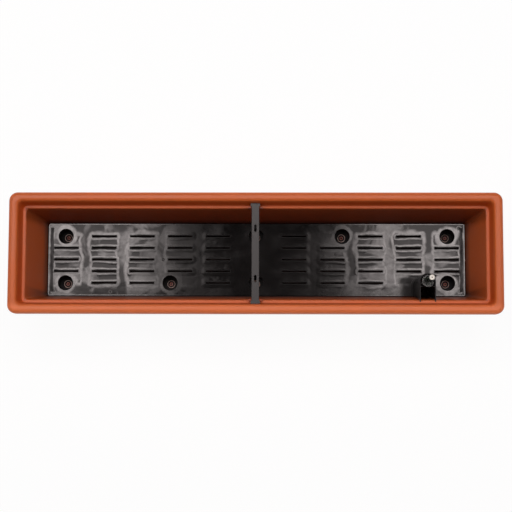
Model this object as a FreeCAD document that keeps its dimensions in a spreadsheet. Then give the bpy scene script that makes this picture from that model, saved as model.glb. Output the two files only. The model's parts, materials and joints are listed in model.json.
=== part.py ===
import FreeCAD, Part
import os
import math
import Sketcher

# Self-watering window box: a terracotta trough, a black false floor with eight soil wells,
# a cross brace, a filling shaft and a float gauge that shows how full the reservoir is.
#
# Millimetres. The origin is the middle of the underside, +X runs along the box, +Y goes to
# the side away from the filling shaft and +Z is up.

Vector = FreeCAD.Vector

SIZES = (
    # alias, value, what it is
    ("rim_length", 800, "length over the rim"),
    ("rim_width", 197, "width over the rim"),
    ("rim_top", 168, "height of the trough"),
    ("rim_corner", 14, "corner radius of the rim, seen from above"),
    ("skirt_drop", 20, "height of the rim's outer skirt"),
    ("skirt_wall", 2.2, "thickness of the skirt"),
    ("bead_wall", 2.6, "thickness of the rim's top"),
    ("bead_outer_round", 7, "rounding of the rim's outer edge"),
    ("bead_chamfer", 2.8, "chamfer inside the rim's outer edge"),
    ("bead_inner_round", 5, "rounding of the rim's inner edge"),
    ("collar_top_inset", 14, "rim's outer face to the collar's top"),
    ("collar_foot_inset", 19.1, "rim's outer face to the collar's foot"),
    ("collar_corner", 8, "corner radius inside the collar"),
    ("ledge_height", 140, "height of the ledge inside the rim"),
    ("ledge_inset", 24.1, "rim's outer face to the ledge's inner edge"),
    ("ledge_wall", 2.5, "thickness of the ledge"),
    ("ledge_round", 2.4, "rounding of the ledge's inner edge"),
    ("wall", 2.5, "thickness of the trough's walls"),
    ("wall_corner", 5, "corner radius inside the walls"),
    ("floor_top", 7.5, "height of the trough's floor inside"),
    ("floor_wall", 3, "thickness of the floor"),
    ("floor_end_inset", 49, "rim's outer face to the end wall at the floor"),
    ("floor_side_inset", 39.8, "rim's outer face to the long wall at the floor"),
    ("base_rim", 6, "width of the foot rim under the floor"),
    ("base_rib_wall", 1.8, "thickness of the ribs under the floor"),
    ("base_rib_depth", 3, "depth of those ribs"),
    ("base_rib_pitch", 160, "distance between those ribs"),
    ("base_notch_width", 14, "width of the notches that let water out of the foot rim"),
    ("base_notch_height", 1.2, "height of those notches"),
    ("gusset_wall", 1.6, "thickness of the gussets under the rim"),
    ("gusset_pitch", 200, "distance between the gussets"),
    ("gusset_lift", 3, "gussets' lower edge above the skirt's edge"),
    ("overflow_bore", 8, "bore of the overflow hole"),
    ("overflow_height", 34, "height of the overflow hole"),
    ("drain_bore", 12.2, "bore of the drain hole"),
    ("drain_x", -195, "place of the drain hole along the box"),
    ("lug_length", 5, "length of the lugs that hold the brace"),
    ("lug_wall", 2, "thickness of those lugs"),
    ("lug_rise", 9, "height of those lugs above the ledge"),
    ("panel_top", 41.5, "height of the false floor's top"),
    ("panel_wall", 2, "thickness of the false floor"),
    ("panel_corner", 3, "corner radius of the false floor"),
    ("panel_end_gap", 1.7, "false floor to the end walls"),
    ("panel_side_gap", 1.2, "false floor to the long walls"),
    ("column_pitch", 65, "distance between the columns of slots"),
    ("row_pitch", 20, "distance between the rows of slots"),
    ("slot_length", 41.4, "length of a slot"),
    ("slot_width", 3, "width of a slot"),
    ("bank_margin", 2.2, "raised bank round a slot, its width"),
    ("bank_rise", 0.8, "raised bank round a slot, its height"),
    ("well_row", 40, "wells, distance from the middle line"),
    ("well_end_x", 326, "end wells, distance from the middle"),
    ("well_inner_x", 147, "single wells, distance from the middle"),
    ("well_mouth", 13, "radius of a well"),
    ("well_wall", 1.8, "thickness of a well"),
    ("well_bottom", 11.8, "height of a well's bottom"),
    ("well_hole", 4.6, "width of the water hole in a well"),
    ("well_hole_cut", 1.35, "cut off the corners of that hole"),
    ("runner_length", 16, "length of the runners under a well"),
    ("runner_offset", 5, "runners to the middle of a well"),
    ("rib_wall", 1.6, "thickness of the ribs under the false floor"),
    ("rib_drop", 8, "depth of those ribs"),
    ("rib_y", 10, "long ribs, distance from the middle line"),
    ("rib_end_gap", 14, "long ribs' ends to the false floor's ends"),
    ("rib_side_gap", 7, "cross ribs' ends to the false floor's sides"),
    ("dimple_width", 7.2, "width of the corner dimples"),
    ("dimple_cut", 2.1, "cut off the corners of those dimples"),
    ("dimple_depth", 0.8, "depth of the corner dimples"),
    ("dimple_end_gap", 9, "corner dimples to the false floor's ends"),
    ("dimple_side_gap", 7.5, "corner dimples to the false floor's sides"),
    ("channel_width", 2.6, "width of the channels beside the ends"),
    ("channel_depth", 1, "depth of those channels"),
    ("channel_length", 104, "length of those channels"),
    ("channel_inset", 5.2, "channels to the false floor's ends"),
    ("brace_width", 12.2, "width of the cross brace"),
    ("brace_top", 155, "height of the cross brace's top"),
    ("brace_depth", 9, "depth of its channel section"),
    ("brace_wall", 2, "thickness of its section"),
    ("brace_gap", 0.35, "cross brace to the collar and lugs"),
    ("brace_head_width", 15.2, "width of its heads"),
    ("brace_head_wall", 2.4, "thickness of its heads"),
    ("brace_hole_y", 41, "its holes, distance from the middle"),
    ("brace_hole_length", 12, "length of its holes"),
    ("brace_hole_width", 4, "width of its holes"),
    ("brace_hole_cut", 1.2, "cut off the corners of those holes"),
    ("brace_edge_round", 0.7, "rounding of its top edges"),
    ("shaft_end", 120, "rim's outer face to the middle of the filling shaft"),
    ("gauge_y", -44, "place of the gauge across the box"),
    ("shaft_radius", 13.3, "outer radius of the shaft's round back"),
    ("shaft_wall", 1.8, "thickness of the shaft"),
    ("shaft_top", 142, "height of the shaft's top"),
    ("shaft_plug", 3, "depth of the shaft below the false floor"),
    ("shaft_fit", 0.3, "shaft to the opening in the false floor"),
    ("shaft_wall_gap", 0.6, "shaft's edges to the trough's wall"),
    ("shaft_hook", 3, "reach of the shaft's hooks over the ledge"),
    ("shaft_flange", 3, "width of the shaft's foot flange"),
    ("shaft_flange_wall", 1.6, "thickness of the foot flange"),
    ("keeper_offset", 8.5, "gauge's middle to the keeper ribs"),
    ("keeper_wall", 1.6, "thickness of the keeper ribs"),
    ("keeper_reach", 3.6, "how far the keeper ribs stand out"),
    ("gauge_radius", 10, "outer radius of the gauge tube"),
    ("gauge_wall", 1.2, "thickness of the gauge tube"),
    ("gauge_floor_gap", 0.3, "gauge to the trough's floor"),
    ("gauge_ring_top", 143, "height of the gauge's ring"),
    ("gauge_ring_rise", 2, "ring above the gauge's shoulder"),
    ("window_top", 175, "height of the gauge's window"),
    ("window_width", 11, "width of the window along the box"),
    ("window_depth", 8.4, "width of the window across the box"),
    ("window_round", 2.5, "rounding of the window's corners"),
    ("window_x", 3, "window's middle from the gauge's middle, along the box"),
    ("window_y", 3.8, "window's middle from the gauge's middle, across the box"),
    ("window_button", 4.1, "radius of the button on the window's top"),
    ("window_button_rise", 0.4, "height of that button"),
    ("window_mark", 0.9, "radius of the moulding mark in that button"),
    ("foot_wall", 1.6, "thickness of the gauge's foot"),
    ("foot_spigot", 2.4, "height of the foot's spigot"),
    ("foot_rib", 1.6, "thickness of the ribs in that spigot"),
    ("foot_fit", 0.2, "foot's spigot to the gauge tube"),
    ("foot_hole_length", 4.6, "length of the foot's water slots"),
    ("foot_hole_width", 2.4, "width of those slots"),
    ("foot_hole_offset", 3.6, "those slots to the foot's middle, each way"),
    ("float_fit", 0.5, "float to the gauge tube"),
    ("float_rest_gap", 0.3, "float to the gauge's foot"),
    ("float_length", 22, "length of the float"),
    ("float_travel", 22, "rise of the float from empty to full"),
    ("rod_radius", 1.8, "radius of the indicator rod"),
    ("rod_socket", 6, "depth of the rod in the float"),
    ("tip_width", 7, "width of the indicator's head along the box"),
    ("tip_depth", 4.6, "width of the indicator's head across the box"),
    ("tip_height", 9, "height of the indicator's head"),
    ("tip_clearance", 1, "indicator's head to the window's top when full"),
    ("plug_head", 9.5, "radius of the drain plug's head"),
    ("plug_head_wall", 2, "thickness of the drain plug's head"),
    ("plug_fit", 0.05, "drain plug to its hole"),
    ("plug_rise", 2, "drain plug above the floor"),
)

# The outer rows' slots by their column, counted from the middle: the wells and the filling
# shaft take the places of the others.
FAR_ROW_COLUMNS = (-4, -3, -2, -1, 1, 3, 4)
NEAR_ROW_COLUMNS = (-4, -3, -1, 1, 2, 3)

doc = FreeCAD.newDocument("window_box")


def make_sheet():
    sheet = doc.addObject("Spreadsheet::Sheet", "Sizes")
    for row, (alias, value, meaning) in enumerate(SIZES, start=1):
        sheet.set(f"A{row}", meaning)
        sheet.set(f"B{row}", str(value))
        sheet.setAlias(f"B{row}", alias)
    doc.recompute()
    return sheet


sizes = make_sheet()


def number(expression):
    """The present value of an expression on the sheet."""
    return float(sizes.evalExpression(str(expression)))


# ---------------------------------------------------------------- shapes of the trough

def between(low, high, height):
    """Inset at a height, on the straight line through two (inset, height) pairs."""
    slope = f"(({high[0]} - {low[0]}) / ({high[1]} - {low[1]}))"
    return f"({low[0]} + {slope} * ({height} - {low[1]}))"


def end_inset(height):
    return between(("Sizes.floor_end_inset", "Sizes.floor_top"),
                   ("Sizes.ledge_inset", "Sizes.ledge_height"), height)


def side_inset(height):
    return between(("Sizes.floor_side_inset", "Sizes.floor_top"),
                   ("Sizes.ledge_inset", "Sizes.ledge_height"), height)


def collar_inset(height):
    return between(("Sizes.collar_foot_inset", "Sizes.ledge_height"),
                   ("Sizes.collar_top_inset", "Sizes.rim_top"), height)


def inside(inset_x, inset_y=None):
    """Length and width of the rectangle that lies so far inside the rim's outer faces."""
    return (f"(Sizes.rim_length - 2 * {inset_x})",
            f"(Sizes.rim_width - 2 * {inset_y or inset_x})")


def panel_size():
    length, width = inside(end_inset("Sizes.panel_top"), side_inset("Sizes.panel_top"))
    return f"({length} - 2 * Sizes.panel_end_gap)", f"({width} - 2 * Sizes.panel_side_gap)"


def shaft_x():
    """Place of the filling shaft and its gauge along the box."""
    return "(Sizes.rim_length / 2 - Sizes.shaft_end)"


# ---------------------------------------------------------------- sketches and features

def new_body(name):
    body = doc.addObject("PartDesign::Body", name)
    body.Label = name
    return body


def origin_part(body, role):
    return [part for part in body.Origin.OriginFeatures if part.Role == role][0]


def new_sketch(body, name, plane="XY_Plane", x=None, y=None, z=None, turned=0):
    """A sketch on one of the body's own planes, moved in the sketch's own directions."""
    sketch = body.newObject("Sketcher::SketchObject", name)
    sketch.AttachmentSupport = [(origin_part(body, plane), "")]
    sketch.MapMode = "FlatFace"
    for axis, expression in (("x", x), ("y", y), ("z", z)):
        if expression is not None:
            sketch.setExpression(f"AttachmentOffset.Base.{axis}", str(expression))
    if turned:
        place = sketch.AttachmentOffset
        place.Rotation = FreeCAD.Rotation(Vector(0, 0, 1), turned)
        sketch.AttachmentOffset = place
    return sketch


def dimension(sketch, kind, *where_and_expression):
    *where, expression = where_and_expression
    start = number(expression)
    index = sketch.addConstraint(Sketcher.Constraint(kind, *where, start))
    name = f"{kind}{index}"
    sketch.renameConstraint(index, name)
    sketch.setExpression(f"Constraints.{name}", str(expression))


def add_rectangle(sketch, length, width, x="0", y="0"):
    """A rectangle by its length, width and middle."""
    half_length = number(length) / 2
    half_width = number(width) / 2
    middle = Vector(number(x), number(y), 0)
    corners = [middle + Vector(sx * half_length, sy * half_width, 0)
               for sx, sy in ((-1, -1), (1, -1), (1, 1), (-1, 1))]
    first = len(sketch.Geometry)
    for index in range(4):
        line = Part.LineSegment(corners[index], corners[(index + 1) % 4])
        sketch.addGeometry(line, False)
    for index in range(4):
        sketch.addConstraint(Sketcher.Constraint(
            "Coincident", first + index, 2, first + (index + 1) % 4, 1))
    for index, kind in enumerate(("Horizontal", "Vertical", "Horizontal", "Vertical")):
        sketch.addConstraint(Sketcher.Constraint(kind, first + index))
    dimension(sketch, "DistanceX", first, 1, first, 2, length)
    dimension(sketch, "DistanceY", first + 1, 1, first + 1, 2, width)
    if (x, y) == ("0", "0"):
        sketch.addConstraint(Sketcher.Constraint("Symmetric", first, 1, first + 1, 2, -1, 1))
    else:
        dimension(sketch, "DistanceX", -1, 1, first, 2, f"({x}) + ({length}) / 2")
        dimension(sketch, "DistanceY", -1, 1, first + 1, 2, f"({y}) + ({width}) / 2")


def add_rounded_rectangle(sketch, length, width, radius):
    """A rectangle with round corners about the sketch's origin."""
    r = number(radius)
    reach_x = number(length) / 2 - r
    reach_y = number(width) / 2 - r
    middles = [Vector(sx * reach_x, sy * reach_y, 0)
               for sx, sy in ((1, -1), (1, 1), (-1, 1), (-1, -1))]
    outward = [Vector(0, -r, 0), Vector(r, 0, 0), Vector(0, r, 0), Vector(-r, 0, 0)]
    for index in range(4):
        side = Part.LineSegment(middles[index - 1] + outward[index],
                                middles[index] + outward[index])
        corner = Part.Circle(middles[index], Vector(0, 0, 1), r)
        start = (index - 1) * math.pi / 2
        sketch.addGeometry(side, False)
        sketch.addGeometry(Part.ArcOfCircle(corner, start, start + math.pi / 2), False)
    for index in range(8):
        sketch.addConstraint(Sketcher.Constraint(
            "Tangent", index, 2, (index + 1) % 8, 1))
    for index, kind in enumerate(("Horizontal", "Vertical", "Horizontal", "Vertical")):
        sketch.addConstraint(Sketcher.Constraint(kind, 2 * index))
    for corner in (3, 5, 7):
        sketch.addConstraint(Sketcher.Constraint("Equal", 1, corner))
    sketch.addConstraint(Sketcher.Constraint("Symmetric", 7, 3, 3, 3, -1, 1))
    dimension(sketch, "DistanceX", 7, 3, 1, 3, f"{length} - 2 * ({radius})")
    dimension(sketch, "DistanceY", 1, 3, 3, 3, f"{width} - 2 * ({radius})")
    dimension(sketch, "Radius", 1, radius)


def add_circle(sketch, radius, x="0", y="0"):
    middle = Vector(number(x), number(y), 0)
    circle = sketch.addGeometry(Part.Circle(middle, Vector(0, 0, 1), number(radius)), False)
    if (x, y) == ("0", "0"):
        sketch.addConstraint(Sketcher.Constraint("Coincident", circle, 3, -1, 1))
    else:
        dimension(sketch, "DistanceX", -1, 1, circle, 3, x)
        dimension(sketch, "DistanceY", -1, 1, circle, 3, y)
    dimension(sketch, "Radius", circle, radius)


def add_polygon(sketch, points):
    """A closed outline of straight edges through (x, y) expressions."""
    places = [Vector(number(x), number(y), 0) for x, y in points]
    count = len(places)
    first = len(sketch.Geometry)
    for index in range(count):
        line = Part.LineSegment(places[index], places[(index + 1) % count])
        sketch.addGeometry(line, False)
    for index in range(count):
        sketch.addConstraint(Sketcher.Constraint(
            "Coincident", first + index, 2, first + (index + 1) % count, 1))
    for index, (x, y) in enumerate(points):
        for kind, expression in (("DistanceX", x), ("DistanceY", y)):
            if expression == "0":
                on_axis = -2 if kind == "DistanceX" else -1
                sketch.addConstraint(Sketcher.Constraint(
                    "PointOnObject", first + index, 1, on_axis))
            else:
                dimension(sketch, kind, -1, 1, first + index, 1, expression)


def add_cut_rectangle(sketch, length, width, cut, x="0", y="0"):
    """A rectangle with its corners cut off, about the sketch's origin or a given middle."""
    far = f"({length}) / 2"
    side = f"({width}) / 2"
    quarter = (
        (f"{far} - {cut}", side),
        (far, f"{side} - {cut}"),
    )
    points = []
    for sides, corner in (("++", quarter), ("+-", reversed(quarter)),
                          ("--", quarter), ("-+", reversed(quarter))):
        points += [(f"({x}) {sides[0]} ({px})", f"({y}) {sides[1]} ({py})")
                   for px, py in corner]
    add_polygon(sketch, points)


def add_shaft_outline(sketch, half_width, near_end):
    """The shaft's plan: straight sides with a round back about the gauge's middle."""
    radius = number(half_width)
    near = number(near_end)
    left = Part.LineSegment(Vector(-radius, 0, 0), Vector(-radius, near, 0))
    front = Part.LineSegment(Vector(-radius, near, 0), Vector(radius, near, 0))
    right = Part.LineSegment(Vector(radius, near, 0), Vector(radius, 0, 0))
    back = Part.ArcOfCircle(Part.Circle(Vector(0, 0, 0), Vector(0, 0, 1), radius), 0, math.pi)
    first = len(sketch.Geometry)
    for edge in (left, front, right, back):
        sketch.addGeometry(edge, False)
    sketch.addConstraint(Sketcher.Constraint("Coincident", first, 2, first + 1, 1))
    sketch.addConstraint(Sketcher.Constraint("Coincident", first + 1, 2, first + 2, 1))
    sketch.addConstraint(Sketcher.Constraint("Tangent", first + 2, 2, first + 3, 1))
    sketch.addConstraint(Sketcher.Constraint("Tangent", first + 3, 2, first, 1))
    sketch.addConstraint(Sketcher.Constraint("Horizontal", first + 1))
    sketch.addConstraint(Sketcher.Constraint("Vertical", first))
    sketch.addConstraint(Sketcher.Constraint("Coincident", first + 3, 3, -1, 1))
    dimension(sketch, "Radius", first + 3, half_width)
    dimension(sketch, "DistanceY", -1, 1, first, 2, near_end)


def extrude(body, kind, sketch, length, reversed_side=False, midplane=False, name=None):
    feature = body.newObject(f"PartDesign::{kind}", name or f"{sketch.Name}_{kind.lower()}")
    feature.Profile = (sketch, [""])
    feature.setExpression("Length", str(length))
    feature.Reversed = reversed_side
    if midplane:
        feature.SideType = "Symmetric"
    doc.recompute()
    return feature


def pad(body, sketch, length, **options):
    return extrude(body, "Pad", sketch, length, **options)


def pocket(body, sketch, length, **options):
    """Cut a sketch's outline and make sure that the cut removed something."""
    before = body.Tip.Shape.Volume
    feature = extrude(body, "Pocket", sketch, length, **options)
    if feature.Shape.Volume >= before:
        raise ValueError(f"{feature.Name} cuts nothing")
    return feature


def tapered_block(body, kind, name, low, low_size, high, high_size):
    """A block with four sloping sides between two heights, added or taken away."""
    block = body.newObject(f"PartDesign::{kind}Wedge", name)
    block.AttachmentSupport = [(origin_part(body, "XZ_Plane"), "")]
    block.MapMode = "FlatFace"
    limits = {"Ymin": low, "Ymax": high}
    for end, (length, width) in (("", low_size), ("2", high_size)):
        limits[f"X{end}min"] = f"-{length} / 2"
        limits[f"X{end}max"] = f"{length} / 2"
        limits[f"Z{end}min"] = f"-{width} / 2"
        limits[f"Z{end}max"] = f"{width} / 2"
    for limit, expression in limits.items():
        block.setExpression(limit, expression)
    doc.recompute()
    return block


def line_pattern(body, name, originals, axis, length, count, axis2=None, length2=None,
                 count2=1, reversed_side=False):
    pattern = body.newObject("PartDesign::LinearPattern", name)
    pattern.Originals = originals
    pattern.Direction = (origin_part(body, f"{axis}_Axis"), [""])
    pattern.setExpression("Length", str(length))
    pattern.Occurrences = count
    pattern.Reversed = reversed_side
    if axis2:
        pattern.Direction2 = (origin_part(body, f"{axis2}_Axis"), [""])
        pattern.setExpression("Length2", str(length2))
        pattern.Occurrences2 = count2
    body.Tip = pattern
    doc.recompute()
    return pattern


def half_turn(body, name, originals):
    """A second copy, half a turn round the upright axis."""
    pattern = body.newObject("PartDesign::PolarPattern", name)
    pattern.Originals = originals
    pattern.Axis = (origin_part(body, "Z_Axis"), [""])
    pattern.Angle = 360
    pattern.Occurrences = 2
    body.Tip = pattern
    doc.recompute()
    return pattern


def round_edges(body, radius, wanted, name, kind="Fillet", size="Radius"):
    """Round the edges of the body's tip that the test picks."""
    base = body.Tip
    names = [f"Edge{index}" for index, edge in enumerate(base.Shape.Edges, start=1)
             if wanted(edge)]
    if not names:
        raise ValueError(f"{name} finds no edge")
    feature = body.newObject(f"PartDesign::{kind}", name)
    feature.Base = (base, names)
    feature.setExpression(size, str(radius))
    doc.recompute()
    return feature


def close(a, b, tolerance=0.02):
    return abs(a - b) < tolerance


def at_height(height, half_length=None, half_width=None):
    """Picks level edges at a height that lie on a rectangle of that size."""
    z = number(height)
    x = number(half_length) if half_length else None
    y = number(half_width) if half_width else None

    def wanted(edge):
        box = edge.BoundBox
        if not (close(box.ZMin, z) and close(box.ZMax, z)):
            return False
        if x is None:
            return True
        reach_x = max(abs(box.XMin), abs(box.XMax))
        reach_y = max(abs(box.YMin), abs(box.YMax))
        return close(reach_x, x, 0.5) or close(reach_y, y, 0.5)
    return wanted


def rising(low, high):
    """Picks the straight edges that run from one height to another."""
    z_low = number(low)
    z_high = number(high)

    def wanted(edge):
        box = edge.BoundBox
        if not (close(box.ZMin, z_low) and close(box.ZMax, z_high)):
            return False
        return close(edge.Length, box.DiagonalLength)
    return wanted


def block(body, name, length, width, low, high, x="0", y="0"):
    """An upright block between two heights, as a sketch and its pad."""
    sketch = new_sketch(body, name, z=low)
    add_rectangle(sketch, length, width, x, y)
    return pad(body, sketch, f"({high}) - ({low})")


def rectangle_at(body, name, size, height):
    sketch = new_sketch(body, name, z=height)
    add_rectangle(sketch, size[0], size[1])
    return sketch


# ---------------------------------------------------------------- trough

def make_trough():
    body = new_body("trough")
    make_rim(body)
    make_walls(body)
    add_gussets(body)
    hollow_out(body)
    shape_underside(body)
    add_brace_lugs(body)
    cut_water_holes(body)
    return body


def make_rim(body):
    skirt_edge = "(Sizes.rim_top - Sizes.skirt_drop)"
    rim = rectangle_at(body, "rim_plan", inside("0"), skirt_edge)
    pad(body, rim, "Sizes.skirt_drop")
    round_edges(body, "Sizes.rim_corner", rising(skirt_edge, "Sizes.rim_top"), "rim_corners")
    round_edges(body, "Sizes.bead_outer_round", at_height("Sizes.rim_top"), "bead_outside")
    under_bead = "(Sizes.rim_top - Sizes.bead_wall)"
    hollow = new_sketch(body, "skirt_hollow", z=skirt_edge)
    add_rounded_rectangle(hollow, *inside("Sizes.skirt_wall"),
                          "Sizes.rim_corner - Sizes.skirt_wall")
    pocket(body, hollow, "Sizes.skirt_drop - Sizes.bead_wall", reversed_side=True)
    round_edges(body, "Sizes.bead_chamfer", at_height(under_bead), "bead_underside",
                kind="Chamfer", size="Size")


def make_walls(body):
    """Outer faces of the collar and of the walls below it, each a tapered block."""
    foot = "(Sizes.ledge_height - Sizes.ledge_wall)"
    top = "(Sizes.rim_top - Sizes.bead_wall / 2)"
    tapered_block(body, "Additive", "collar",
                  foot, inside(f"({collar_inset(foot)} - Sizes.wall)"),
                  top, inside(f"({collar_inset(top)} - Sizes.wall)"))
    tapered_block(body, "Additive", "walls",
                  "0", inside(f"({end_inset('0')} - Sizes.wall)",
                              f"({side_inset('0')} - Sizes.wall)"),
                  "Sizes.ledge_height", inside("(Sizes.ledge_inset - Sizes.wall)"))


def add_gussets(body):
    """Thin upright ribs that tie the skirt to the collar, out of sight under the rim."""
    low = "(Sizes.rim_top - Sizes.skirt_drop + Sizes.gusset_lift)"
    high = "(Sizes.rim_top - Sizes.bead_wall / 2)"
    reach = "(Sizes.collar_top_inset - Sizes.skirt_wall)"
    y = f"(Sizes.rim_width / 2 - Sizes.skirt_wall / 2 - {reach} / 2)"
    for name, side in (("far_gusset", ""), ("near_gusset", "-")):
        first = block(body, name, "Sizes.gusset_wall", reach, low, high,
                      "-Sizes.gusset_pitch", f"{side}{y}")
        line_pattern(body, f"{name}s", [first], "X", "2 * Sizes.gusset_pitch", 3)


def hollow_out(body):
    """The planting space: tapered walls from the floor to the ledge, then the collar."""
    tapered_block(body, "Subtractive", "planting_space",
                  "Sizes.floor_top", inside("Sizes.floor_end_inset", "Sizes.floor_side_inset"),
                  "Sizes.ledge_height", inside("Sizes.ledge_inset"))
    tapered_block(body, "Subtractive", "mouth",
                  "Sizes.ledge_height", inside("Sizes.collar_foot_inset"),
                  "Sizes.rim_top", inside("Sizes.collar_top_inset"))
    round_edges(body, "Sizes.wall_corner", rising("Sizes.floor_top", "Sizes.ledge_height"),
                "wall_corners")
    round_edges(body, "Sizes.collar_corner", rising("Sizes.ledge_height", "Sizes.rim_top"),
                "collar_corners")
    foot = "(Sizes.ledge_height - Sizes.ledge_wall)"
    round_edges(body, "Sizes.collar_corner + Sizes.wall",
                rising(foot, "(Sizes.rim_top - Sizes.bead_wall)"), "collar_outer_corners")
    round_edges(body, "Sizes.wall_corner + Sizes.wall", rising("0", foot), "wall_outer_corners")
    half = [f"({side} / 2)" for side in inside("Sizes.collar_top_inset")]
    round_edges(body, "Sizes.bead_inner_round", at_height("Sizes.rim_top", *half), "bead_inside")
    half = [f"({side} / 2)" for side in inside("Sizes.ledge_inset")]
    round_edges(body, "Sizes.ledge_round", at_height("Sizes.ledge_height", *half), "ledge_edge")


def shape_underside(body):
    """A foot rim round the underside, with the floor lifted clear of the ground."""
    inset_x = f"({end_inset('0')} - Sizes.wall + Sizes.base_rim)"
    inset_y = f"({side_inset('0')} - Sizes.wall + Sizes.base_rim)"
    length, width = inside(inset_x, inset_y)
    depth = "(Sizes.floor_top - Sizes.floor_wall)"
    recess = rectangle_at(body, "base_recess", (length, width), "0")
    pocket(body, recess, depth, reversed_side=True)
    ribs = new_sketch(body, "base_ribs", z=f"{depth} - Sizes.base_rib_depth")
    for place in ("-1.5", "-0.5", "0.5", "1.5"):
        add_rectangle(ribs, "Sizes.base_rib_wall", f"{width} + Sizes.base_rim",
                      f"{place} * Sizes.base_rib_pitch", "0")
    pad(body, ribs, "Sizes.base_rib_depth + Sizes.floor_wall / 2")
    notches = new_sketch(body, "base_notches", z="0")
    for side in ("", "-"):
        add_rectangle(notches, "Sizes.base_notch_width", f"{width} + 4 * Sizes.base_rim",
                      f"{side}Sizes.base_rib_pitch", "0")
    pocket(body, notches, "Sizes.base_notch_height", reversed_side=True)


def add_brace_lugs(body):
    """Two pairs of lugs on the ledge; the brace's necks drop between them."""
    low = "(Sizes.ledge_height - Sizes.ledge_wall / 2)"
    high = "(Sizes.ledge_height + Sizes.lug_rise)"
    x = "(Sizes.brace_width / 2 + Sizes.brace_gap + Sizes.lug_length / 2)"
    head_face = f"(Sizes.rim_width / 2 - {collar_inset('Sizes.ledge_height')})"
    y = (f"({head_face} - Sizes.brace_gap - Sizes.brace_head_wall - Sizes.brace_gap"
         " - Sizes.lug_wall / 2)")
    sketch = new_sketch(body, "lug_plan", z=low)
    for side_x in ("", "-"):
        for side_y in ("", "-"):
            add_rectangle(sketch, "Sizes.lug_length", "Sizes.lug_wall",
                          f"{side_x}{x}", f"{side_y}{y}")
    pad(body, sketch, f"{high} - {low}")


def cut_water_holes(body):
    drain = new_sketch(body, "drain_hole", z="0", x="Sizes.drain_x")
    add_circle(drain, "Sizes.drain_bore / 2")
    pocket(body, drain, "Sizes.floor_top + 1", reversed_side=True)
    overflow = new_sketch(body, "overflow_hole", plane="YZ_Plane", y="Sizes.overflow_height",
                          z="Sizes.rim_length / 4")
    add_circle(overflow, "Sizes.overflow_bore / 2")
    pocket(body, overflow, "Sizes.rim_length / 4", reversed_side=True)


# ---------------------------------------------------------------- false floor

def make_false_floor():
    body = new_body("false_floor")
    make_panel(body)
    add_wells(body)
    add_underside_ribs(body)
    add_slots(body)
    add_surface_marks(body)
    cut_shaft_opening(body)
    return body


def make_panel(body):
    bottom = "(Sizes.panel_top - Sizes.panel_wall)"
    plan = rectangle_at(body, "panel_plan", panel_size(), bottom)
    pad(body, plan, "Sizes.panel_wall")
    round_edges(body, "Sizes.panel_corner", rising(bottom, "Sizes.panel_top"), "panel_corners")


def add_underside_ribs(body):
    low = "(Sizes.panel_top - Sizes.panel_wall - Sizes.rib_drop)"
    high = "(Sizes.panel_top - Sizes.panel_wall / 2)"
    length, width = panel_size()
    ribs = new_sketch(body, "long_ribs", z=low)
    for side in ("", "-"):
        add_rectangle(ribs, f"({length} - 2 * Sizes.rib_end_gap)", "Sizes.rib_wall",
                      "0", f"{side}Sizes.rib_y")
    pad(body, ribs, f"{high} - {low}")
    cross = new_sketch(body, "cross_ribs", z=low)
    for columns in ("-3.5", "-1.5", "1.5", "3.5"):
        add_rectangle(cross, "Sizes.rib_wall", f"({width} - 2 * Sizes.rib_side_gap)",
                      f"{columns} * Sizes.column_pitch", "0")
    pad(body, cross, f"{high} - {low}")


def slots(body, name, columns, x="0", y="0"):
    """Slots with their raised banks in one row, as the two features that make them."""
    bank = new_sketch(body, f"{name}_bank", x=x, y=y, z="Sizes.panel_top - Sizes.panel_wall / 2")
    opening = new_sketch(body, name, x=x, y=y, z="Sizes.panel_top + Sizes.bank_rise")
    for column in columns:
        middle = f"{column} * Sizes.column_pitch" if column else "0"
        add_rectangle(bank, "(Sizes.slot_length + 2 * Sizes.bank_margin)",
                      "(Sizes.slot_width + 2 * Sizes.bank_margin)", middle)
        add_rectangle(opening, "Sizes.slot_length", "Sizes.slot_width", middle)
    raised = pad(body, bank, "Sizes.panel_wall / 2 + Sizes.bank_rise")
    cut = pocket(body, opening, "Sizes.panel_wall + Sizes.bank_rise + Sizes.rib_drop")
    return [raised, cut]


def add_slots(body):
    """Three full rows of slots in two blocks of five columns, then the outer rows."""
    for name, column in (("left_slots", -5), ("right_slots", 1)):
        first = slots(body, name, [0], f"{column} * Sizes.column_pitch", "-Sizes.row_pitch")
        line_pattern(body, f"{name}_block", first, "X", "4 * Sizes.column_pitch", 5,
                     "Y", "2 * Sizes.row_pitch", 3)
    slots(body, "far_slots", FAR_ROW_COLUMNS, y="2 * Sizes.row_pitch")
    slots(body, "near_slots", NEAR_ROW_COLUMNS, y="-2 * Sizes.row_pitch")


def well_at(body, name, x, y):
    """One soil well: a round cup on two runners, with a water hole in its bottom."""
    place = {"x": x, "y": y}
    underside = "(Sizes.well_bottom - Sizes.well_wall)"
    outside = new_sketch(body, f"{name}_cup", z=underside, **place)
    add_circle(outside, "Sizes.well_mouth + Sizes.well_wall")
    cup = pad(body, outside, f"Sizes.panel_top - Sizes.panel_wall / 2 - {underside}")
    inside_cup = new_sketch(body, f"{name}_space", z="Sizes.panel_top", **place)
    add_circle(inside_cup, "Sizes.well_mouth")
    hollow = pocket(body, inside_cup, "Sizes.panel_top - Sizes.well_bottom")
    runners = new_sketch(body, f"{name}_runners", z="Sizes.floor_top", **place)
    for side in ("", "-"):
        add_rectangle(runners, "Sizes.runner_length", "Sizes.well_wall",
                      "0", f"{side}Sizes.runner_offset")
    feet = pad(body, runners, f"{underside} + Sizes.well_wall / 2 - Sizes.floor_top")
    hole = new_sketch(body, f"{name}_hole", z="Sizes.well_bottom", **place)
    add_cut_rectangle(hole, "Sizes.well_hole", "Sizes.well_hole", "Sizes.well_hole_cut")
    water = pocket(body, hole, "2 * Sizes.well_wall")
    return [cup, hollow, feet, water]


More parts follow.
